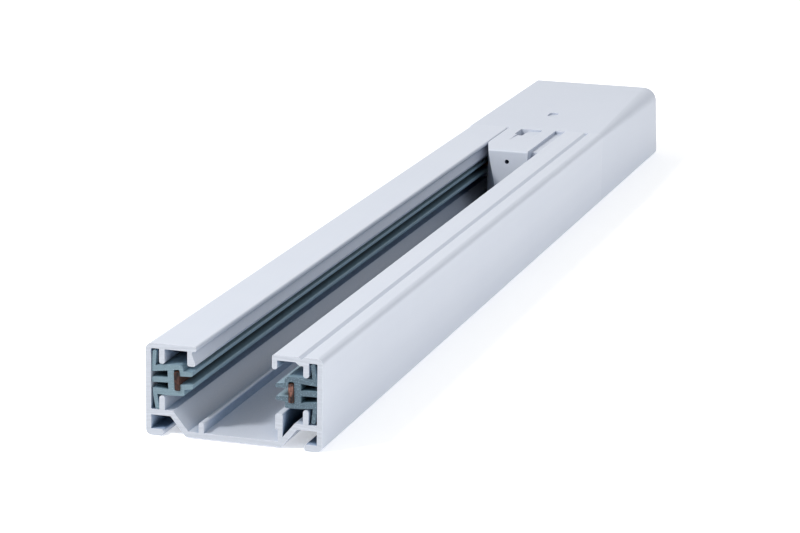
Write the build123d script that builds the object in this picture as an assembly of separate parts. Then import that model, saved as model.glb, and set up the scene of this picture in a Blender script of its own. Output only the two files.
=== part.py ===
from build123d import *
from math import radians, tan
import os

os.makedirs("parts", exist_ok=True)

# A short length of lighting track with the feed that brings power into one end.
# X runs across the rail, Y along it from the open end to the feed, and Z up out of the slot.
# The origin lies midway along the track and across it, on the plane of the feet.

# Overall sizes, in millimetres
rail_width = 35.0
rail_height = 18.0
rail_length = 224.7
feed_length = 68.3

# Walls and corners of the extrusion
wall = 1.03
flange = 1.02
web = 1.06
top_radius = 1.25
bottom_radius = 1.1
tip_radius = 0.42
pocket_radius = 0.3

# Floor of the extrusion, heights above the feet and reaches in from the side face
foot_height = 1.25
foot_reach = 3.5
web_underside = 4.03
web_reach = 5.45
floor_underside = 0.27
slope_angle = 50.7

# Ribs that hold the insulators, one pair along each side wall
rib_gap = 1.69
rib_width = 1.06

# Keyed lip on the left of the slot
left_reach = 10.13
left_leg = 0.87
left_leg_setback = 0.92
left_leg_depth = 3.88
left_waist = 0.45
left_flare = 0.69
left_flare_foot = 0.52
left_flare_height = 0.55

# Plain lip on the right of the slot
right_reach = 9.92
right_lip = 0.97
right_lip_depth = 2.76

# Polarity groove in the right flange, with the thicker metal under it
groove_reach = 4.2
groove_width = 1.2
groove_depth = 0.5
groove_pad = 0.65
groove_pad_width = 1.45
groove_pad_slope = 0.9

# Rib on the floor and upstand that carries the earth contact
floor_rib_reach = 10.6
floor_rib_width = 1.0
floor_rib_height = 2.05
earth_reach = 7.78
earth_width = 0.91
earth_head = 1.43
earth_head_height = 2.93
earth_drop = 4.33

# Fixing holes in the floor
fixing_bore = 4.2
fixing_spacing = 120.0
fixing_first = 61.0

# Insulators, pushed into the pockets beside the side walls
play = 0.1
arm_play = 0.12
insulator_drop = 0.055
insulator_setback = 0.3
tilt_left = 2.8
tilt_right = 1.0
spine_reach = 4.35
spine = 1.28
arm_thickness = 1.17
arm_squeeze = 0.3
finger_thickness = 1.0
leg_gap = 0.17
leg_width = 0.78
leg_lean = 0.4
leg_end_gap = 0.28
leg_radius = 0.25
face_wall = 0.73
slot_height = 4.1
slot_wall = 0.97
slot_corner = 0.25
lip_reach = 9.3
lip_root = 1.05
lip_end = 0.78
mouth = 1.62
lip_radius = 0.3
upper_corner = 0.8
lower_corner = 0.3

# Copper conductors, one in each insulator
conductor_thickness = 1.0
conductor_height = 3.65
conductor_slack = 0.07
conductor_rise = 0.1
conductor_edge = 0.3

# Feed housing, as wide and as high as the rail, with one edge that swells towards its end
housing_wall = 2.2
housing_top_wall = 1.8
housing_edge_left = 0.8
end_edge_right = 3.6
end_lean_right = 1.0
end_corner_left = 0.6
end_corner_right = 1.5
cover_ledge = 0.8
cover_thickness = 1.5
cover_play = 0.15
dimple_length = 5.0
dimple_width = 2.4
dimple_depth = 0.4
dimple_inset = 21.0
dimple_left = 0.7

# Tongue of the feed, which stands in the slot
tongue_length = 28.2
tongue_bottom = 3.9
tongue_width = 14.0
tongue_shoulder = 1.8
tongue_shoulder_drop = 0.8
tongue_edge = 0.5
nose_length = 8.0
nose_taper = 2.3
nose_bottom_taper = 2.7
notch_length = 4.0
notch_depth = 2.6
recess_width = 5.0
recess_length = 15.0
recess_depth = 0.5
recess_left = 3.0
recess_inset = 0.5
latch_width = 2.0
latch_length = 7.0
latch_depth = 5.0
latch_left = 3.6
core_hole = 1.1
core_hole_depth = 6.0
core_hole_drop = 2.9

# Spring contacts on both sides of the tongue, and the one that meets the earth upstand
blade_thickness = 0.5
blade_height = 1.1
blade_inset = 1.2
blade_bow = 14.0
blade_tail = 12.0
groove_play = 0.3
earth_blade_drop = 1.45

# Terminals on the tails of the contacts
terminal_width = 5.2
terminal_length = 8.0
terminal_inset = 6.0
terminal_drop = 2.68
terminal_gap = 0.7
wire_hole = 3.0
wire_lift = 0.5
clamp_hole = 2.4
clamp_inset = 2.0
clamp_slot = 0.5
clamp_slot_depth = 0.7

# Cable entry and screws
cable_bore = 7.4
cable_collar = 2.0
cable_depth = 7.0
cable_height = 9.4
post_diameter = 6.0
screw_pilot = 2.4
screw_diameter = 2.9
screw_head = 5.4
screw_length = 9.0
screw_inset = 17.0
screw_slot = 0.9
screw_cross = 3.2

side = rail_width / 2
inner = side - wall
ceiling = rail_height - flange
web_top = web_underside + web
floor_top = floor_underside + web
track_length = rail_length + feed_length
cut_end = -track_length / 2
rail_end = cut_end + rail_length
feed_end = track_length / 2
overlap = 0.4

# Heights that the insulators, the ribs that hold them and the feed's contacts share
middle = (ceiling + web_top) / 2 - insulator_drop
arm_half = slot_height / 2 + slot_wall
earth_top = middle - earth_drop
earth_height = earth_top - earth_blade_drop

# Room inside the feed housing
hall_front = rail_end + housing_wall
hall_back = feed_end - housing_wall
hall_width = rail_width - 2 * housing_wall
hall_height = rail_height - housing_top_wall
screw_stations = {"front": rail_end + screw_inset, "rear": feed_end - screw_inset}


def bar(x_low, x_high, z_low, z_high, radius=0):
    """A straight limb of a section, between two side faces and two heights."""
    width = x_high - x_low
    height = z_high - z_low
    limb = RectangleRounded(width, height, radius) if radius else Rectangle(width, height)
    return Pos((x_low + x_high) / 2, (z_low + z_high) / 2) * limb


def outline(*points):
    """A closed straight-sided area of a section."""
    return Polygon(*points, align=None)


def round_near(section, radius, *places):
    """Round the corners of a section that lie nearest to the given places."""
    corners = [section.vertices().sort_by_distance((x, z, 0))[0] for x, z in places]
    return fillet(corners, radius)


def along(section, y_start, y_end):
    """Extrude a section along the rail between two stations."""
    return extrude(Plane.XZ.offset(-y_end) * section, amount=y_end - y_start)


def both_sides(shape):
    """A shape and its mirror image across the middle of the rail."""
    return shape + mirror(shape, about=Plane.YZ)


def body_frame(left_edge):
    """Outer outline that the rail and the feed housing share, its top right corner left square."""
    frame = bar(-side, side, 0, rail_height)
    frame = round_near(frame, left_edge, (-side, rail_height))
    return round_near(frame, bottom_radius, (-side, 0), (side, 0))


def floor_band():
    """The web, the two slopes and the floor, one strip of even thickness."""
    rise = web_underside - floor_underside
    run = rise / tan(radians(slope_angle))
    shift = web * tan(radians(slope_angle / 2))
    knee = side - web_reach
    foot_of_slope = knee - run
    end = inner + overlap
    under = [(foot_of_slope + shift, floor_underside), (knee + shift, web_underside), (end, web_underside)]
    top = [(end, web_top), (knee, web_top), (foot_of_slope, floor_top)]
    right = under + top
    left = [(-x, z) for x, z in reversed(right)]
    return outline(*right, *left)


def rail_section():
    """Section of the aluminium extrusion."""
    rib_out = inner - rib_gap
    rib_in = rib_out - rib_width
    left_tip = -side + left_reach
    right_tip = side - right_reach
    section = round_near(body_frame(top_radius), top_radius, (side, rail_height))
    section -= bar(-inner, inner, foot_height, ceiling)
    section -= bar(-side + foot_reach, side - foot_reach, -overlap, foot_height + overlap)
    section -= bar(left_tip, right_tip, ceiling - overlap, rail_height + overlap)
    section += floor_band()

    ribs = bar(rib_in, rib_out, middle + arm_half + arm_play, ceiling + overlap, tip_radius)
    ribs += bar(rib_in, rib_out, web_top - overlap, middle - arm_half - arm_play, tip_radius)
    section += both_sides(ribs)

    leg_right = left_tip - left_leg_setback
    leg_left = leg_right - left_leg
    leg_bottom = rail_height - left_leg_depth
    section += outline(
        (leg_left, ceiling + overlap),
        (leg_left, leg_bottom),
        (leg_right + left_flare_foot, leg_bottom),
        (leg_right + left_flare, leg_bottom + left_flare_height),
        (leg_right, ceiling - left_waist),
        (leg_right, ceiling + overlap),
    )
    lip_bottom = rail_height - right_lip_depth
    section += bar(right_tip, right_tip + right_lip, lip_bottom, ceiling + overlap)

    groove = side - groove_reach
    pad_left = groove - groove_pad_width / 2 + groove_pad_slope / 2
    section += outline(
        (pad_left - groove_pad_slope, ceiling),
        (pad_left, ceiling - groove_pad),
        (rib_in + overlap, ceiling - groove_pad),
        (rib_in + overlap, ceiling + overlap),
        (pad_left - groove_pad_slope, ceiling + overlap),
    )
    section -= outline(
        (groove - groove_width / 2, rail_height),
        (groove, rail_height - groove_depth),
        (groove + groove_width / 2, rail_height),
        (groove, rail_height + groove_depth),
    )

    rib_left = -side + floor_rib_reach
    rib_top = floor_top + floor_rib_height
    section += bar(rib_left, rib_left + floor_rib_width, floor_top - overlap, rib_top, tip_radius)
    earth_out = side - earth_reach
    section += bar(earth_out - earth_width, earth_out, floor_top - overlap, earth_top)
    section += bar(earth_out - earth_head, earth_out, earth_top - earth_head_height, earth_top)

    foot_tip = side - foot_reach
    section = round_near(section, tip_radius, (-foot_tip, 0), (foot_tip, 0))
    section = round_near(section, tip_radius, (-foot_tip, foot_height), (foot_tip, foot_height))
    section = round_near(section, tip_radius, (left_tip, rail_height), (left_tip, ceiling))
    section = round_near(section, pocket_radius, (leg_right, ceiling))
    section = round_near(section, tip_radius, (leg_left, leg_bottom), (right_tip, rail_height))
    section = round_near(section, tip_radius, (right_tip, lip_bottom), (right_tip + right_lip, lip_bottom))
    section = round_near(section, pocket_radius, (-inner, ceiling), (inner, ceiling))
    section = round_near(section, pocket_radius, (-inner, web_top), (inner, web_top))
    section = round_near(section, pocket_radius, (earth_out, earth_top), (earth_out - earth_head, earth_top))
    return section


def rail_extrusion():
    """The rail, cut to length and drilled through the floor for its two fixings."""
    rail = along(rail_section(), cut_end, rail_end)
    for number in range(2):
        station = cut_end + fixing_first + number * fixing_spacing
        rail -= Pos(0, station, floor_underside) * Cylinder(fixing_bore / 2, 4 * web)
    return rail


# Places of the spine and of the conductor across the rail, as on the right
spine_in = side - spine_reach - spine
slot_width = conductor_thickness + 2 * conductor_slack
conductor_face = spine_in - slot_width + conductor_slack
tilts = {-1: tilt_left, 1: tilt_right}


def tilted(section, hand):
    """Turn a section, drawn about the middle, by the slack of its fit and put it on its side of the rail."""
    placed = section if hand > 0 else mirror(section, about=Plane.YZ)
    pivot = hand * (side - spine_reach)
    return Pos(pivot, middle) * Rot(0, 0, tilts[hand]) * Pos(-pivot, 0) * placed


def insulator_section():
    """Insulator about its middle, as the right-hand one: conductor slot and lips inside, legs outside."""
    half_mouth = mouth / 2
    face_out = spine_in - slot_width
    face_in = face_out - face_wall
    lip_tip = side - lip_reach
    leg_root = inner - leg_gap
    leg_end = leg_root - leg_lean
    leg_tip = ceiling - leg_end_gap - middle
    arm_end = arm_half - arm_squeeze
    spine_out = spine_in + spine

    upper = bar(face_in, spine_out, 0, arm_half)
    upper -= bar(face_out, spine_in, 0, slot_height / 2)
    upper -= bar(face_in, face_out, 0, half_mouth)
    upper += outline(
        (lip_tip, half_mouth),
        (face_out, half_mouth),
        (face_out, half_mouth + lip_root),
        (lip_tip, half_mouth + lip_end),
    )
    upper += outline(
        (spine_out, arm_half - arm_thickness),
        (leg_root, arm_end - arm_thickness),
        (leg_root, arm_end),
        (spine_out, arm_half),
    )
    upper += outline(
        (leg_root - leg_width, arm_end),
        (leg_root, arm_end),
        (leg_end, leg_tip),
        (leg_end - leg_width, leg_tip),
    )
    section = upper + mirror(upper, about=Plane.XZ)
    section += bar(spine_in + overlap, inner - play, -finger_thickness / 2, finger_thickness / 2)
    for turn in (-1, 1):
        lip_back = turn * (half_mouth + lip_end)
        slot_edge = turn * slot_height / 2
        leg_edge = turn * leg_tip
        section = round_near(section, lip_radius, (lip_tip, turn * half_mouth), (lip_tip, lip_back))
        section = round_near(section, slot_corner, (face_out, slot_edge), (spine_in, slot_edge))
        section = round_near(section, leg_radius, (leg_end, leg_edge), (leg_end - leg_width, leg_edge))
    section = round_near(section, lower_corner, (face_in, -arm_half))
    return round_near(section, upper_corner, (face_in, arm_half))


def insulator(hand):
    """Grey insulating strip of one side, cut a little shorter than the rail."""
    return along(tilted(insulator_section(), hand), cut_end + insulator_setback, rail_end)


def conductor(hand):
    """Flat copper bar in the slot of one insulator, its edges rounded by drawing."""
    low = conductor_rise - slot_height / 2
    high = low + conductor_height
    section = bar(conductor_face, conductor_face + conductor_thickness, low, high, conductor_edge)
    return along(tilted(section, hand), cut_end, rail_end)


def tongue():
    """The block of the housing that stands in the slot, its nose tapered on the left."""
    half = tongue_width / 2
    front = rail_end - tongue_length
    full_width = front + nose_length
    shoulder_x = half - tongue_shoulder
    low = rail_height - tongue_shoulder_drop
    section = bar(-half, half, tongue_bottom, low) + bar(-half, shoulder_x, low - overlap, rail_height)
    block = along(section, full_width, hall_front)

    top_left = -half + nose_taper
    bottom_left = top_left + nose_bottom_taper
    nose_back = bar(-half, half, tongue_bottom, low)
    nose_front = outline((bottom_left, tongue_bottom), (half, tongue_bottom), (half, low), (top_left, low))
    stations = [Plane.XZ.offset(-front) * nose_front, Plane.XZ.offset(-full_width) * nose_back]
    block += loft([station.face() for station in stations], ruled=True)
    crown = outline(
        (-half, full_width + overlap),
        (-half, full_width),
        (top_left, front),
        (shoulder_x, front),
        (shoulder_x, full_width + overlap),
    )
    block += extrude(Plane.XY.offset(low) * crown, amount=tongue_shoulder_drop)
    brow = block.edges().filter_by(Axis.X).sort_by_distance((0, front, rail_height))[0]
    block = fillet(brow, tongue_edge)
    notch = Pos((shoulder_x + half) / 2, front + notch_length / 2, rail_height - notch_depth / 2)
    return block - notch * Box(tongue_shoulder, notch_length, notch_depth)


def tongue_recess():
    """Sunken ramp in the top of the tongue, deepest next to the housing, and the latch slot in its corner."""
    back = rail_end - recess_inset
    profile = outline(
        (back - recess_length, rail_height),
        (back, rail_height - recess_depth),
        (back, rail_height + overlap),
        (back - recess_length, rail_height + overlap),
    )
    ramp = extrude(Plane.YZ.offset(-recess_left) * profile, amount=recess_width)
    slot = Pos(latch_width / 2 - latch_left, back - latch_length / 2, rail_height - latch_depth / 2)
    return ramp + slot * Box(latch_width, latch_length, latch_depth)


def right_trim(lean, radius):
    """Area that trims the right side of the housing to its lean and edge at one station."""
    trim = outline((-rail_width, 0), (side, 0), (side - lean, rail_height), (-rail_width, rail_height))
    return round_near(trim, radius, (side - lean, rail_height))


def housing_shell():
    """Outer skin of the housing: the rail's outline, its right edge drawn into a fuller one at the end."""
    joint = Plane.XZ.offset(-rail_end) * right_trim(0, top_radius)
    end = Plane.XZ.offset(-feed_end) * right_trim(end_lean_right, end_edge_right)
    plan = outline((-side, rail_end), (side, rail_end), (side, feed_end), (-side, feed_end))
    plan = round_near(plan, end_corner_left, (-side, feed_end))
    plan = round_near(plan, end_corner_right, (side, feed_end))
    shell = along(body_frame(housing_edge_left), rail_end, feed_end)
    return shell & loft([joint.face(), end.face()], ruled=True) & extrude(plan, amount=rail_height)


def feed_housing():
    """White moulded housing of the feed, open below, with its tongue."""
    shell = housing_shell()
    hall_middle = (hall_front + hall_back) / 2
    hall_length = hall_back - hall_front
    shell -= Pos(0, hall_middle, hall_height / 2) * Box(hall_width, hall_length, hall_height)
    mouth_size = (hall_width + 2 * cover_ledge, hall_length + 2 * cover_ledge, cover_thickness)
    shell -= Pos(0, hall_middle, cover_thickness / 2) * Box(*mouth_size)
    post_height = hall_height - cover_thickness
    for station in screw_stations.values():
        post = Pos(0, station, cover_thickness + post_height / 2)
        shell += post * Cylinder(post_diameter / 2, post_height)
        shell -= post * Cylinder(screw_pilot / 2, post_height)
    shell += tongue()
    shell -= tongue_recess()

    inner_depth = cable_depth - housing_wall / 2
    collar = Pos(0, feed_end - cable_depth + inner_depth / 2, cable_height) * Rot(90, 0, 0)
    shell += collar * Cylinder(cable_bore / 2 + cable_collar, inner_depth)
    shell -= Pos(0, feed_end, cable_height) * Rot(90, 0, 0) * Cylinder(cable_bore / 2, 2 * cable_depth)

    core = Pos(0, rail_end - tongue_length, rail_height - core_hole_drop) * Rot(90, 0, 0)
    shell -= core * Cylinder(core_hole / 2, core_hole_depth)
    dimple = Plane.XY.offset(rail_height - dimple_depth) * Pos(-dimple_left, rail_end + dimple_inset)
    shell -= extrude(dimple * SlotOverall(dimple_length, dimple_width, rotation=90), amount=dimple_depth)
    for hand in (-1, 1):
        shell -= blade_groove(hand, contact_height(hand))
    shell -= blade_groove(1, earth_height)
    return shell


blade_root = tongue_width / 2 - blade_inset
blade_middle = rail_end - (tongue_length - nose_length) / 2


def contact_height(hand):
    """Height of the mouth of one insulator, which its tilt raises or lowers."""
    return middle - hand * (lip_reach - spine_reach) * tan(radians(tilts[hand]))


def blade(hand, reach, height):
    """Spring contact bent out to a given reach, from its tail in the housing to its tip in the tongue."""
    crest = reach - play - blade_thickness / 2
    bow = [
        (hand * blade_root, rail_end + blade_tail),
        (hand * blade_root, blade_middle + blade_bow / 2),
        (hand * crest, blade_middle + blade_bow / 6),
        (hand * crest, blade_middle - blade_bow / 6),
        (hand * blade_root, blade_middle - blade_bow / 2),
    ]
    strip = trace(FilletPolyline(*bow, radius=1.0), blade_thickness)
    return extrude(Plane.XY.offset(height - blade_height / 2) * strip, amount=blade_height)


def blade_groove(hand, height):
    """Groove in the side of the tongue, and the passage into the housing, for a spring contact."""
    depth_in = blade_root - blade_thickness / 2 - play
    depth_out = tongue_width / 2 + overlap
    front = blade_middle - blade_bow / 2 - 2 * groove_play
    tall = blade_height + 2 * groove_play
    groove = Pos(hand * (depth_in + depth_out) / 2, (front + rail_end) / 2, height)
    passage = Pos(hand * blade_root, (rail_end + hall_front) / 2, height)
    cut = groove * Box(depth_out - depth_in, rail_end - front, tall)
    return cut + passage * Box(blade_thickness + 2 * play, housing_wall + 2 * overlap, tall)


def terminal(hand, blade_up, low, high):
    """Brass block on the tail of a contact, drilled for its wire and, from below, for its clamp screw."""
    front = rail_end + terminal_inset
    back = front + terminal_length
    x = hand * blade_root
    block = Pos(x, (front + back) / 2, (low + high) / 2) * Box(terminal_width, terminal_length, high - low)
    slot_size = (blade_thickness + 2 * play, terminal_length, blade_height + 2 * play)
    block -= Pos(x, (front + back) / 2, blade_up) * Box(*slot_size)
    wire_up = blade_up + wire_lift
    block -= Pos(x, back, wire_up) * Rot(90, 0, 0) * Cylinder(wire_hole / 2, terminal_length)
    return block - Pos(x, back - clamp_inset, low) * Cylinder(clamp_hole / 2, 2 * (wire_up - low))


def clamp_screw(hand, blade_up, low):
    """Headless screw in the underside of a terminal, slotted, its tip at the wire hole."""
    length = blade_up + wire_lift - wire_hole / 2 - low
    screw = Pos(0, 0, length / 2) * Cylinder(clamp_hole / 2 - play, length)
    screw -= Pos(0, 0, clamp_slot_depth / 2) * Box(clamp_hole, clamp_slot, clamp_slot_depth)
    return Pos(hand * blade_root, rail_end + terminal_inset + terminal_length - clamp_inset, low) * screw


def feed_cover():
    """Bottom cover of the housing, flush with the feet of the rail."""
    slack = cover_ledge - cover_play
    width = hall_width + 2 * slack
    length = hall_back - hall_front + 2 * slack
    plate = Pos(0, (hall_front + hall_back) / 2, cover_thickness / 2) * Box(width, length, cover_thickness)
    shank = screw_diameter / 2 + play
    sink_depth = (screw_head - screw_diameter) / 2
    for station in screw_stations.values():
        plate -= Pos(0, station, cover_thickness / 2) * Cylinder(shank, cover_thickness)
        plate -= Pos(0, station, sink_depth / 2) * Cone(screw_head / 2 + play, shank, sink_depth)
    return plate


def cover_screw(station):
    """Countersunk screw that holds the cover, with a cross cut in its head."""
    sink_depth = (screw_head - screw_diameter) / 2
    screw = Pos(0, 0, sink_depth / 2) * Cone(screw_head / 2, screw_diameter / 2, sink_depth)
    screw += Pos(0, 0, screw_length / 2) * Cylinder(screw_pilot / 2 - play / 2, screw_length)
    screw -= Box(screw_cross, screw_slot, sink_depth)
    screw -= Box(screw_slot, screw_cross, sink_depth)
    return Pos(0, station, 0) * screw


earth_face = side - earth_reach - earth_head
earth_low = cover_thickness + play
line_low = middle - terminal_drop
line_high = hall_height - play
earth_high = line_low - terminal_gap

pieces = {
    "rail_extrusion": rail_extrusion(),
    "feed_housing": feed_housing(),
    "feed_cover": feed_cover(),
    "contact_earth": blade(1, earth_face, earth_height),
    "terminal_earth": terminal(1, earth_height, earth_low, earth_high),
    "clamp_screw_earth": clamp_screw(1, earth_height, earth_low),
}
for side_name, hand in (("left", -1), ("right", 1)):
    pieces[f"insulator_{side_name}"] = insulator(hand)
    pieces[f"conductor_{side_name}"] = conductor(hand)
    blade_up = contact_height(hand)
    pieces[f"contact_{side_name}"] = blade(hand, conductor_face, blade_up)
    pieces[f"terminal_{side_name}"] = terminal(hand, blade_up, line_low, line_high)
    pieces[f"clamp_screw_{side_name}"] = clamp_screw(hand, blade_up, line_low)
for place, station in screw_stations.items():
    pieces[f"cover_screw_{place}"] = cover_screw(station)

for name, piece in pieces.items():
    export_step(piece, f"parts/{name}.step")
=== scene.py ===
import bpy
from mathutils import Matrix, Vector


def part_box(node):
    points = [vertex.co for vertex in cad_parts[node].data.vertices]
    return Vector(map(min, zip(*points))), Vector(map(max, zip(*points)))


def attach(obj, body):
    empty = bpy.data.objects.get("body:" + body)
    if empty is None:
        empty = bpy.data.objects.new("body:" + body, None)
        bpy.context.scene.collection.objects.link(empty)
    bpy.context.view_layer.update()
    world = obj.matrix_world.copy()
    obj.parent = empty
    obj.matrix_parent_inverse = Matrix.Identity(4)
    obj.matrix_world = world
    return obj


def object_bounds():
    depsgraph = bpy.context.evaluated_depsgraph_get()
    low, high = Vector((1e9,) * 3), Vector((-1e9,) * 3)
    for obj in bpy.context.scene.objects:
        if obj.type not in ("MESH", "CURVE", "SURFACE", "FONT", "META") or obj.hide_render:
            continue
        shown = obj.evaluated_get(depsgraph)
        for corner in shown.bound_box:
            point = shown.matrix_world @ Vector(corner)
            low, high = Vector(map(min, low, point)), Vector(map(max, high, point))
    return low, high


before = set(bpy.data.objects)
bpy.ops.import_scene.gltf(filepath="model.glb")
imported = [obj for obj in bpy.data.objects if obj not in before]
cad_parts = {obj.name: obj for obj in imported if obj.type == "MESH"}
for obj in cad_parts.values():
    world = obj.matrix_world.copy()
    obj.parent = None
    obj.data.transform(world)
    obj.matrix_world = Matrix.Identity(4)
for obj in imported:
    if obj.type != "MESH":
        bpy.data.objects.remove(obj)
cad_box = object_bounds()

MM = 0.001

# The open end and the height of the track, from the rail's part
rail_low, rail_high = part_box("rail_extrusion")
CUT_END = rail_low.y
TOP = rail_high.z

# Bluish white of the rail and of the moulding made to match it
COAT_DARK = (0.53, 0.575, 0.67, 1)
COAT_LIGHT = (0.565, 0.61, 0.695, 1)

# Kinds of socket that a node group can have
FLOAT = "NodeSocketFloat"
VECTOR = "NodeSocketVector"

# Sockets of a Mix node, whose names are the same for numbers and for colours
MIX_FACTOR = 0
MIX_FIRST_VALUE = 2
MIX_SECOND_VALUE = 3
MIX_FIRST_COLOR = 6
MIX_SECOND_COLOR = 7
MIXED_VALUE = 0
MIXED_COLOR = 2


# Shader helpers

def new_material(name):
    """Start a material, and return it with its tree and its Principled shader."""
    material = bpy.data.materials.new(name)
    material.use_nodes = True
    tree = material.node_tree
    tree.nodes.clear()
    output = tree.nodes.new("ShaderNodeOutputMaterial")
    shader = tree.nodes.new("ShaderNodeBsdfPrincipled")
    tree.links.new(shader.outputs["BSDF"], output.inputs["Surface"])
    return material, tree, shader


def fill(tree, made, inputs):
    """Link a node's inputs to other sockets, or give them values."""
    for key, value in inputs.items():
        if isinstance(value, bpy.types.NodeSocket):
            tree.links.new(value, made.inputs[key])
        else:
            made.inputs[key].default_value = value


def node(tree, kind, inputs=None, **settings):
    """Add a node, with its settings and its input values or links."""
    made = tree.nodes.new(kind)
    for key, value in settings.items():
        setattr(made, key, value)
    fill(tree, made, inputs or {})
    return made


def maths(tree, operation, first, second=0.0):
    """Add a Math node and return its value."""
    return node(tree, "ShaderNodeMath", {0: first, 1: second}, operation=operation).outputs[0]


def split(tree, vector):
    """Take a vector apart into X, Y and Z."""
    return node(tree, "ShaderNodeSeparateXYZ", {0: vector}).outputs


def mix_color(tree, factor, first, second, blend="MIX"):
    """Mix two colours."""
    inputs = {MIX_FACTOR: factor, MIX_FIRST_COLOR: first, MIX_SECOND_COLOR: second}
    made = node(tree, "ShaderNodeMix", inputs, data_type="RGBA", blend_type=blend)
    return made.outputs[MIXED_COLOR]


def mix_value(tree, factor, first, second):
    """Mix two numbers."""
    inputs = {MIX_FACTOR: factor, MIX_FIRST_VALUE: first, MIX_SECOND_VALUE: second}
    return node(tree, "ShaderNodeMix", inputs, data_type="FLOAT").outputs[MIXED_VALUE]


def bump(tree, height, strength, distance):
    """Turn a height into a normal."""
    inputs = {"Height": height, "Strength": strength, "Distance": distance}
    return node(tree, "ShaderNodeBump", inputs).outputs["Normal"]


def object_place(tree):
    """The point's place on the object, in metres."""
    return tree.nodes.new("ShaderNodeTexCoord").outputs["Object"]


# Effects that several finishes share

def group(name, inputs, outputs):
    """Start a shader node group, and return its tree, what enters it and its result."""
    tree = bpy.data.node_groups.new(name, "ShaderNodeTree")
    for label, kind, value in inputs:
        socket = tree.interface.new_socket(label, in_out="INPUT", socket_type=kind)
        if value is not None:
            socket.default_value = value
    for label in outputs:
        tree.interface.new_socket(label, in_out="OUTPUT", socket_type=FLOAT)
    entry = tree.nodes.new("NodeGroupInput")
    result = tree.nodes.new("NodeGroupOutput")
    return tree, entry.outputs, result


def use(tree, made, inputs):
    """Place a node group in a material with its own values."""
    placed = node(tree, "ShaderNodeGroup", node_tree=made)
    fill(tree, placed, inputs)
    return placed.outputs


def drawn_lines_group():
    """Fine lines that the die draws along the rail, as a height and a mask of broader streaks."""
    streak_scale = 0.17
    tree, entry, result = group(
        "drawn_lines",
        [
            ("Place", VECTOR, None),
            ("Lines per metre", FLOAT, 2200.0),
            ("Breaks per metre", FLOAT, 6.0),
        ],
        ["Height", "Streaks"],
    )
    place = split(tree, entry["Place"])
    across = maths(tree, "MULTIPLY", place["X"], entry["Lines per metre"])
    up = maths(tree, "MULTIPLY", place["Z"], entry["Lines per metre"])
    run = maths(tree, "MULTIPLY", place["Y"], entry["Breaks per metre"])
    drawn = node(tree, "ShaderNodeCombineXYZ", {"X": across, "Y": run, "Z": up}).outputs[0]
    fine = node(tree, "ShaderNodeTexNoise", {"Vector": drawn, "Scale": 1.0, "Detail": 2.0})
    streaky = {"Vector": drawn, "Scale": streak_scale, "Detail": 1.0}
    broad = node(tree, "ShaderNodeTexNoise", streaky)
    fill(tree, result, {"Height": fine.outputs["Fac"], "Streaks": broad.outputs["Fac"]})
    return tree


def peel_group():
    """Orange peel of a sprayed or moulded skin, as a height, with a faint cloud mask."""
    tree, entry, result = group(
        "skin_peel",
        [("Place", VECTOR, None), ("Grain", FLOAT, 1800.0), ("Cloud", FLOAT, 60.0)],
        ["Height", "Clouds"],
    )
    fine = {"Vector": entry["Place"], "Scale": entry["Grain"], "Detail": 1.5, "Roughness": 0.4}
    wide = {"Vector": entry["Place"], "Scale": entry["Cloud"], "Detail": 3.0}
    grain = node(tree, "ShaderNodeTexNoise", fine)
    cloud = node(tree, "ShaderNodeTexNoise", wide)
    fill(tree, result, {"Height": grain.outputs["Fac"], "Clouds": cloud.outputs["Fac"]})
    return tree


def edge_group():
    """Mask of worn edges that also carry painted highlight, and painted shade on sawn copper, from
    how far the surface turns within a small radius.
    """
    sharpness = 6.0
    tree, entry, result = group(
        "edge_wear_and_painted_light",
        [("Place", VECTOR, None), ("Radius", FLOAT, 0.25 * MM), ("Break-up", FLOAT, 400.0)],
        ["Mask"],
    )
    rounded = node(tree, "ShaderNodeBevel", {"Radius": entry["Radius"]}, samples=4)
    true = tree.nodes.new("ShaderNodeNewGeometry")
    normals = {0: rounded.outputs["Normal"], 1: true.outputs["Normal"]}
    turn = node(tree, "ShaderNodeVectorMath", normals, operation="DOT_PRODUCT")
    bend = maths(tree, "SUBTRACT", 1.0, turn.outputs["Value"])
    patchy = {"Vector": entry["Place"], "Scale": entry["Break-up"], "Detail": 3.0}
    patch = node(tree, "ShaderNodeTexNoise", patchy).outputs["Fac"]
    broken = maths(tree, "MULTIPLY", maths(tree, "MULTIPLY", bend, sharpness), patch)
    clipped = node(tree, "ShaderNodeClamp", {"Value": broken})
    fill(tree, result, {"Mask": clipped.outputs[0]})
    return tree


def sawn_end_group():
    """Mask of the faces that a saw left at the open end of the track."""
    looks_out = -0.8
    tree, entry, result = group(
        "sawn_end",
        [("Place", VECTOR, None), ("Station", FLOAT, CUT_END), ("Depth", FLOAT, 0.4 * MM)],
        ["Mask"],
    )
    limit = maths(tree, "ADD", entry["Station"], entry["Depth"])
    near = maths(tree, "LESS_THAN", split(tree, entry["Place"])["Y"], limit)
    facing = tree.nodes.new("ShaderNodeNewGeometry").outputs["Normal"]
    outward = maths(tree, "LESS_THAN", split(tree, facing)["Y"], looks_out)
    fill(tree, result, {"Mask": maths(tree, "MULTIPLY", near, outward)})
    return tree


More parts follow.
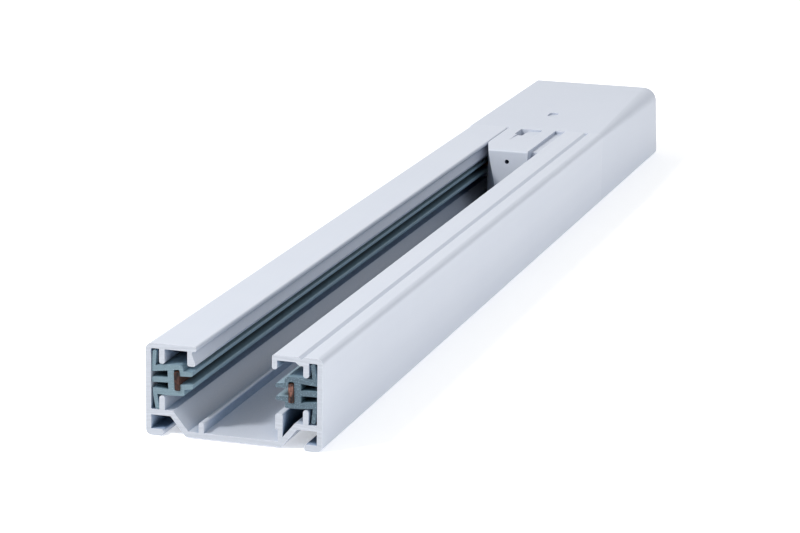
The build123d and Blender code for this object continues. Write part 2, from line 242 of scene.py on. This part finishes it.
def saw_marks_group():
    """Shallow arcs that a saw blade leaves across a cut face, as a height."""
    tree, entry, result = group(
        "saw_marks",
        [("Place", VECTOR, None), ("Blade", FLOAT, 0.12), ("Marks per metre", FLOAT, 2600.0)],
        ["Height"],
    )
    place = split(tree, entry["Place"])
    drop = maths(tree, "ADD", place["Z"], entry["Blade"])
    flat = node(tree, "ShaderNodeCombineXYZ", {"X": place["X"], "Y": drop}).outputs[0]
    reach = node(tree, "ShaderNodeVectorMath", {0: flat}, operation="LENGTH").outputs["Value"]
    ring = maths(tree, "MULTIPLY", reach, entry["Marks per metre"])
    teeth = {"W": ring, "Scale": 1.0, "Detail": 3.0}
    marks = node(tree, "ShaderNodeTexNoise", teeth, noise_dimensions="1D")
    fill(tree, result, {"Height": marks.outputs["Fac"]})
    return tree


def recess_group():
    """Mask of places that little light reaches, from how far the piece shuts itself in."""
    tree, entry, result = group(
        "recess_shade",
        [("Reach", FLOAT, 16.0 * MM), ("Open at", FLOAT, 0.6), ("Curve", FLOAT, 2.0)],
        ["Mask"],
    )
    shut = node(
        tree,
        "ShaderNodeAmbientOcclusion",
        {"Distance": entry["Reach"]},
        samples=8,
        only_local=True,
    )
    share = maths(tree, "DIVIDE", shut.outputs["AO"], entry["Open at"])
    clipped = node(tree, "ShaderNodeClamp", {"Value": share}).outputs[0]
    lit = maths(tree, "POWER", clipped, entry["Curve"])
    fill(tree, result, {"Mask": maths(tree, "SUBTRACT", 1.0, lit)})
    return tree


DRAWN_LINES = drawn_lines_group()
SKIN_PEEL = peel_group()
EDGE_WEAR_AND_PAINTED_LIGHT = edge_group()
SAWN_END = sawn_end_group()
SAW_MARKS = saw_marks_group()
RECESS_SHADE = recess_group()


def shaded(tree, color, shut_in_shade, deepest_shade, recess):
    """Paint shade into a colour: tint it where the piece shuts its own surface in, and darken it
    further far inside.
    """
    depth_curve = 12.0
    shut = use(tree, RECESS_SHADE, recess)["Mask"]
    shaded_color = mix_color(tree, 1.0, color, shut_in_shade, "MULTIPLY")
    inside = mix_color(tree, shut, color, shaded_color)
    darkened = mix_color(tree, 1.0, inside, deepest_shade, "MULTIPLY")
    far_inside = maths(tree, "POWER", shut, depth_curve)
    return mix_color(tree, far_inside, inside, darkened)


# Finishes

def rail_material():
    """White powder coat on drawn aluminium, bare and sawn at the open end."""
    coat_worn_highlight = (0.76, 0.79, 0.86, 1)
    # Painted shade for the inside of the channel: a bluish tint, and near black far inside
    channel_shade = (0.46, 0.63, 0.8, 1)
    channel_far_shade = (0.1, 0.14, 0.17, 1)
    channel = {"Reach": 26.0 * MM, "Open at": 0.48, "Curve": 3.0}
    bare_dark = (0.34, 0.37, 0.42, 1)
    bare_light = (0.47, 0.505, 0.575, 1)
    bare_worn_highlight = (0.54, 0.575, 0.65, 1)
    bare_metal = 0.25
    bare_rough = 0.42
    coat_smooth = 0.36
    coat_rough = 0.46
    lines_share = 0.6

    material, tree, shader = new_material("rail_powder_coat")
    place = object_place(tree)
    peel = use(tree, SKIN_PEEL, {"Place": place, "Grain": 2600.0, "Cloud": 45.0})
    drawn = {"Place": place, "Lines per metre": 2600.0, "Breaks per metre": 5.0}
    lines = use(tree, DRAWN_LINES, drawn)
    end = use(tree, SAWN_END, {"Place": place})["Mask"]
    saw = use(tree, SAW_MARKS, {"Place": place})["Height"]
    edge_mask = use(tree, EDGE_WEAR_AND_PAINTED_LIGHT, {"Place": place, "Radius": 0.2 * MM})["Mask"]

    coat = mix_color(tree, peel["Clouds"], COAT_DARK, COAT_LIGHT)
    # Lighter along the edges: partly wear, partly painted highlight
    coat = mix_color(tree, edge_mask, coat, coat_worn_highlight)
    # Painted shade: bluish inside the channel, near black far inside it
    coat = shaded(tree, coat, channel_shade, channel_far_shade, channel)
    bare = mix_color(tree, saw, bare_dark, bare_light)
    # Lighter along the sawn edges: partly wear, partly painted highlight
    bare = mix_color(tree, edge_mask, bare, bare_worn_highlight)
    rough = mix_value(tree, lines["Streaks"], coat_smooth, coat_rough)
    skin = maths(tree, "ADD", peel["Height"], maths(tree, "MULTIPLY", lines["Height"], lines_share))
    height = mix_value(tree, end, skin, saw)
    looks = {
        "Base Color": mix_color(tree, end, coat, bare),
        "Roughness": mix_value(tree, end, rough, bare_rough),
        "Metallic": maths(tree, "MULTIPLY", end, bare_metal),
        "Normal": bump(tree, height, strength=0.35, distance=0.02 * MM),
    }
    fill(tree, shader, looks)
    return material


def insulator_material(name, chalk_dark, chalk_light):
    """Grey blue PVC, matt, a little chalky where the saw cut it."""
    body_dark = (0.19, 0.29, 0.36, 1)
    body_light = (0.22, 0.33, 0.4, 1)
    # Painted shade for the strip's slots and pockets
    slot_shade = (0.6, 0.68, 0.72, 1)
    slot_far_shade = (0.06, 0.13, 0.15, 1)
    smooth = 0.4
    rough = 0.6

    material, tree, shader = new_material(name)
    place = object_place(tree)
    drawn = {"Place": place, "Lines per metre": 3000.0, "Breaks per metre": 8.0}
    lines = use(tree, DRAWN_LINES, drawn)
    end = use(tree, SAWN_END, {"Place": place, "Depth": 0.8 * MM})["Mask"]
    saw = use(tree, SAW_MARKS, {"Place": place, "Marks per metre": 4200.0})["Height"]

    body = mix_color(tree, lines["Streaks"], body_dark, body_light)
    # Painted shade: darker and bluer where the strip shuts its slots in, near black deep in them
    body = shaded(tree, body, slot_shade, slot_far_shade, {"Reach": 9.0 * MM})
    chalk = mix_color(tree, saw, chalk_dark, chalk_light)
    height = mix_value(tree, end, lines["Height"], saw)
    looks = {
        "Base Color": mix_color(tree, end, body, chalk),
        "Roughness": mix_value(tree, lines["Height"], smooth, rough),
        "Normal": bump(tree, height, strength=0.4, distance=0.02 * MM),
    }
    fill(tree, shader, looks)
    return material


def copper_material(name, cut_dark, cut_light):
    """Drawn copper bar, tarnished brown along its length, torn and mottled where it was sawn."""
    tarnish_dark = (0.12, 0.05, 0.035, 1)
    tarnish_light = (0.26, 0.12, 0.08, 1)
    cut_edge_shade = (0.02, 0.02, 0.022, 1)
    mottle_low = 0.38
    mottle_high = 0.64
    smooth = 0.35
    rough = 0.55

    material, tree, shader = new_material(name)
    place = object_place(tree)
    drawn = {"Place": place, "Lines per metre": 5200.0, "Breaks per metre": 12.0}
    lines = use(tree, DRAWN_LINES, drawn)
    end = use(tree, SAWN_END, {"Place": place})["Mask"]
    tear = use(tree, SKIN_PEEL, {"Place": place, "Grain": 4200.0, "Cloud": 1300.0})
    edges = {"Place": place, "Radius": 0.3 * MM, "Break-up": 1800.0}
    edge_mask = use(tree, EDGE_WEAR_AND_PAINTED_LIGHT, edges)["Mask"]

    tarnish = mix_color(tree, lines["Streaks"], tarnish_dark, tarnish_light)
    mottle = {"Value": tear["Clouds"], "From Min": mottle_low, "From Max": mottle_high}
    spread = node(tree, "ShaderNodeMapRange", mottle).outputs[0]
    cut = mix_color(tree, spread, cut_dark, cut_light)
    # Painted shade: the sawn face goes near black along its edges
    cut = mix_color(tree, edge_mask, cut, cut_edge_shade)
    height = mix_value(tree, end, lines["Height"], tear["Height"])
    looks = {
        "Base Color": mix_color(tree, end, tarnish, cut),
        "Roughness": mix_value(tree, lines["Height"], smooth, rough),
        "Metallic": 0.6,
        "Normal": bump(tree, height, strength=0.6, distance=0.05 * MM),
    }
    fill(tree, shader, looks)
    return material


def moulding_material():
    """White moulded plastic with a fine spark-eroded skin."""
    edge_worn_highlight = (0.74, 0.78, 0.86, 1)
    # Painted shade for the moulding's small crevices and hollows
    crevice_shade = (0.4, 0.46, 0.54, 1)
    crevice_far_shade = (0.3, 0.34, 0.4, 1)
    smooth = 0.38
    rough = 0.52

    material, tree, shader = new_material("white_moulding")
    place = object_place(tree)
    peel = use(tree, SKIN_PEEL, {"Place": place, "Grain": 3600.0, "Cloud": 30.0})
    edges = {"Place": place, "Radius": 0.3 * MM, "Break-up": 250.0}
    edge_mask = use(tree, EDGE_WEAR_AND_PAINTED_LIGHT, edges)["Mask"]

    skin = mix_color(tree, peel["Clouds"], COAT_DARK, COAT_LIGHT)
    # Lighter along the edges: partly wear, partly painted highlight
    skin = mix_color(tree, edge_mask, skin, edge_worn_highlight)
    looks = {
        # Painted shade in the moulding's small crevices and hollows
        "Base Color": shaded(tree, skin, crevice_shade, crevice_far_shade, {"Reach": 2.0 * MM}),
        "Roughness": mix_value(tree, peel["Height"], smooth, rough),
        "Normal": bump(tree, peel["Height"], strength=0.3, distance=0.02 * MM),
    }
    fill(tree, shader, looks)
    return material


def metal_material(name, dark, light, smooth, rough):
    """A small metal piece with a rolled or plated finish."""
    material, tree, shader = new_material(name)
    place = object_place(tree)
    peel = use(tree, SKIN_PEEL, {"Place": place, "Grain": 5200.0, "Cloud": 700.0})
    edges = {"Place": place, "Radius": 0.12 * MM, "Break-up": 900.0}
    edge_mask = use(tree, EDGE_WEAR_AND_PAINTED_LIGHT, edges)["Mask"]

    metal = mix_color(tree, peel["Clouds"], dark, light)
    looks = {
        "Base Color": mix_color(tree, edge_mask, metal, light),
        "Roughness": mix_value(tree, peel["Clouds"], smooth, rough),
        "Metallic": 1.0,
        "Normal": bump(tree, peel["Height"], strength=0.3, distance=0.01 * MM),
    }
    fill(tree, shader, looks)
    return material


def dress(names, material):
    """Give CAD nodes their finish."""
    for name in names:
        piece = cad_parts[name]
        piece.data.materials.clear()
        piece.data.materials.append(material)


pvc_left = insulator_material(
    "pvc_left",
    chalk_dark=(0.08, 0.14, 0.18, 1),
    chalk_light=(0.18, 0.26, 0.31, 1),
)
# Painted shade: the right strip's sawn end is painted darker than the left strip's
pvc_right_shaded = insulator_material(
    "pvc_right_shaded",
    chalk_dark=(0.025, 0.055, 0.08, 1),
    chalk_light=(0.085, 0.135, 0.18, 1),
)
# Painted shade: the left bar's sawn end is painted far darker than the right bar's
copper_left_shaded = copper_material(
    "copper_left_shaded",
    cut_dark=(0.003, 0.003, 0.004, 1),
    cut_light=(0.06, 0.024, 0.018, 1),
)
copper_right = copper_material(
    "copper_right",
    cut_dark=(0.012, 0.007, 0.008, 1),
    cut_light=(0.24, 0.11, 0.085, 1),
)
brass = metal_material(
    "contact_brass",
    dark=(0.5, 0.36, 0.16, 1),
    light=(0.72, 0.56, 0.3, 1),
    smooth=0.25,
    rough=0.4,
)
zinc = metal_material(
    "zinc_steel",
    dark=(0.42, 0.43, 0.45, 1),
    light=(0.62, 0.63, 0.65, 1),
    smooth=0.3,
    rough=0.45,
)
dress(["rail_extrusion"], rail_material())
dress(["feed_housing", "feed_cover"], moulding_material())
dress(["insulator_left"], pvc_left)
dress(["insulator_right"], pvc_right_shaded)
dress(["conductor_left"], copper_left_shaded)
dress(["conductor_right"], copper_right)
for line in ("left", "right", "earth"):
    dress([f"contact_{line}", f"terminal_{line}"], brass)
    dress([f"clamp_screw_{line}"], zinc)
dress(["cover_screw_front", "cover_screw_rear"], zinc)


# Crumbs that the saw left

def crumb_tree():
    """Crumbs scattered over the faces of a mesh that were sawn at a station along the track."""
    looks_out = -0.9
    random_low = 2
    random_high = 3
    random_number = 1
    tree = bpy.data.node_groups.new("saw_crumbs", "GeometryNodeTree")
    sockets = [
        ("Geometry", "NodeSocketGeometry"),
        ("Station", FLOAT),
        ("Density", FLOAT),
        ("Smallest", FLOAT),
        ("Largest", FLOAT),
        ("Seed", "NodeSocketInt"),
        ("Material", "NodeSocketMaterial"),
    ]
    for label, kind in sockets:
        tree.interface.new_socket(label, in_out="INPUT", socket_type=kind)
    tree.interface.new_socket("Geometry", in_out="OUTPUT", socket_type="NodeSocketGeometry")
    entry = tree.nodes.new("NodeGroupInput").outputs
    result = tree.nodes.new("NodeGroupOutput")

    place = tree.nodes.new("GeometryNodeInputPosition").outputs[0]
    facing = tree.nodes.new("GeometryNodeInputNormal").outputs[0]
    near = maths(tree, "LESS_THAN", split(tree, place)["Y"], entry["Station"])
    outward = maths(tree, "LESS_THAN", split(tree, facing)["Y"], looks_out)
    scatter = node(
        tree,
        "GeometryNodeDistributePointsOnFaces",
        {
            "Mesh": entry["Geometry"],
            "Selection": maths(tree, "MULTIPLY", near, outward),
            "Density": entry["Density"],
            "Seed": entry["Seed"],
        },
    )
    crumb = node(tree, "GeometryNodeMeshIcoSphere", {"Radius": 1.0, "Subdivisions": 1})
    size = node(
        tree,
        "FunctionNodeRandomValue",
        {random_low: entry["Smallest"], random_high: entry["Largest"], "Seed": entry["Seed"]},
        data_type="FLOAT",
    )
    placed = node(
        tree,
        "GeometryNodeInstanceOnPoints",
        {
            "Points": scatter.outputs["Points"],
            "Instance": crumb.outputs["Mesh"],
            "Rotation": scatter.outputs["Rotation"],
            "Scale": size.outputs[random_number],
        },
    )
    real = node(tree, "GeometryNodeRealizeInstances", {"Geometry": placed.outputs["Instances"]})
    dressed = node(
        tree,
        "GeometryNodeSetMaterial",
        {"Geometry": real.outputs["Geometry"], "Material": entry["Material"]},
    )
    fill(tree, result, {"Geometry": dressed.outputs["Geometry"]})
    return tree


def saw_crumbs(name, source, seed, material):
    """Loose crumbs of plastic on the sawn end of one insulating strip."""
    strip_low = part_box(source)[0]
    values = {
        "Station": strip_low.y + 0.1 * MM,
        "Density": 9.0e6,
        "Smallest": 0.03 * MM,
        "Largest": 0.085 * MM,
        "Seed": seed,
        "Material": material,
    }
    piece = bpy.data.objects.new(name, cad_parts[source].data.copy())
    bpy.context.scene.collection.objects.link(piece)
    scatter = piece.modifiers.new("crumbs", "NODES")
    scatter.node_group = CRUMB_TREE
    for item in CRUMB_TREE.interface.items_tree:
        if item.in_out == "INPUT" and item.name in values:
            scatter[item.identifier] = values[item.name]
    ready = piece.evaluated_get(bpy.context.evaluated_depsgraph_get())
    mesh = bpy.data.meshes.new_from_object(ready)
    piece.modifiers.clear()
    piece.data = mesh
    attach(piece, "root")


CRUMB_TREE = crumb_tree()
saw_crumbs("saw_crumbs_left", "insulator_left", seed=3, material=pvc_left)
saw_crumbs("saw_crumbs_right", "insulator_right", seed=8, material=pvc_right_shaded)


# Floor, light and camera

def stage_floor():
    """A plain pale floor just under the track, clear from below to show the underside."""
    reach = 6.0
    level = cad_box[0][2] - 0.05 * MM
    corners = [(-reach, -reach), (reach, -reach), (reach, reach), (-reach, reach)]
    mesh = bpy.data.meshes.new("floor")
    mesh.from_pydata([(x, y, level) for x, y in corners], [], [(0, 1, 2, 3)])
    floor = bpy.data.objects.new("floor", mesh)
    bpy.context.scene.collection.objects.link(floor)

    material, tree, shader = new_material("floor_white")
    looks = {
        "Base Color": (0.97, 0.97, 0.97, 1),
        "Roughness": 0.9,
        "Emission Color": (1, 1, 1, 1),
        "Emission Strength": 0.34,
    }
    fill(tree, shader, looks)
    from_below = tree.nodes.new("ShaderNodeNewGeometry").outputs["Backfacing"]
    clear = tree.nodes.new("ShaderNodeBsdfTransparent").outputs[0]
    sides = {0: from_below, 1: shader.outputs[0], 2: clear}
    seen = node(tree, "ShaderNodeMixShader", sides)
    fill(tree, tree.get_output_node("ALL"), {"Surface": seen.outputs[0]})
    mesh.materials.append(material)


def studio_world(horizon, zenith, right):
    """A white room: white to the camera, and as a light dimmer overhead and on the right."""
    overhead_curve = 3.0
    full_right = -0.8
    white = 1.0
    world = bpy.data.worlds.new("studio")
    bpy.context.scene.world = world
    world.use_nodes = True
    tree = world.node_tree
    tree.nodes.clear()
    seen = tree.nodes.new("ShaderNodeLightPath").outputs["Is Camera Ray"]
    way = split(tree, tree.nodes.new("ShaderNodeNewGeometry").outputs["Incoming"])
    steep = maths(tree, "POWER", maths(tree, "ABSOLUTE", way["Z"]), overhead_curve)
    ambient = mix_value(tree, steep, horizon, zenith)
    turn = {
        "Value": way["X"],
        "From Min": 0.0,
        "From Max": full_right,
        "To Min": 1.0,
        "To Max": right,
    }
    to_right = node(tree, "ShaderNodeMapRange", turn).outputs[0]
    ambient = maths(tree, "MULTIPLY", ambient, to_right)
    strength = mix_value(tree, seen, ambient, white)
    background = node(tree, "ShaderNodeBackground", {"Color": (1, 1, 1, 1), "Strength": strength})
    node(tree, "ShaderNodeOutputWorld", {"Surface": background.outputs[0]})


def soft_box(name, place, target, size, power, color):
    """A square lamp of a given size that faces a point."""
    lamp = bpy.data.lights.new(name, "AREA")
    lamp.size = size
    lamp.energy = power
    lamp.color = color
    lit = bpy.data.objects.new(name, lamp)
    lit.location = place
    lit.rotation_euler = (Vector(target) - Vector(place)).to_track_quat("-Z", "Y").to_euler()
    bpy.context.scene.collection.objects.link(lit)


def photo_camera():
    """The camera that took the photo, from its fit to the edges of the cut end."""
    from_cut_end = Vector((183.934, -505.062, 167.518)) * MM
    right = Vector((0.95634968, 0.29178725, 0.01598394))
    down = Vector((0.08498784, -0.22538611, -0.9705556))
    ahead = Vector((-0.2795932, 0.92954898, -0.24034631))
    lens = bpy.data.cameras.new("photo_camera")
    lens.sensor_width = 36.0
    lens.sensor_fit = "HORIZONTAL"
    lens.lens = 134.957
    lens.clip_start = 0.01
    lens.clip_end = 50.0
    camera = bpy.data.objects.new("photo_camera", lens)
    place = Matrix.Translation(from_cut_end + Vector((0, CUT_END, 0)))
    turn = Matrix((right, -down, -ahead)).transposed()
    camera.matrix_world = place @ turn.to_4x4()
    bpy.context.scene.collection.objects.link(camera)
    bpy.context.scene.camera = camera


stage_floor()
studio_world(horizon=1.1, zenith=0.3, right=0.42)
soft_box(
    "key_soft_box",
    place=(-0.53, -0.65, 0.82),
    target=(0, CUT_END, TOP / 2),
    size=0.15,
    power=8.6,
    color=(1.0, 0.965, 0.92),
)
soft_box(
    "fill_soft_box",
    place=(0.72, -0.2, 0.6),
    target=(0, 0, TOP),
    size=0.6,
    power=1.5,
    color=(0.93, 0.96, 1.0),
)
photo_camera()
bpy.context.scene.view_settings.view_transform = "Standard"
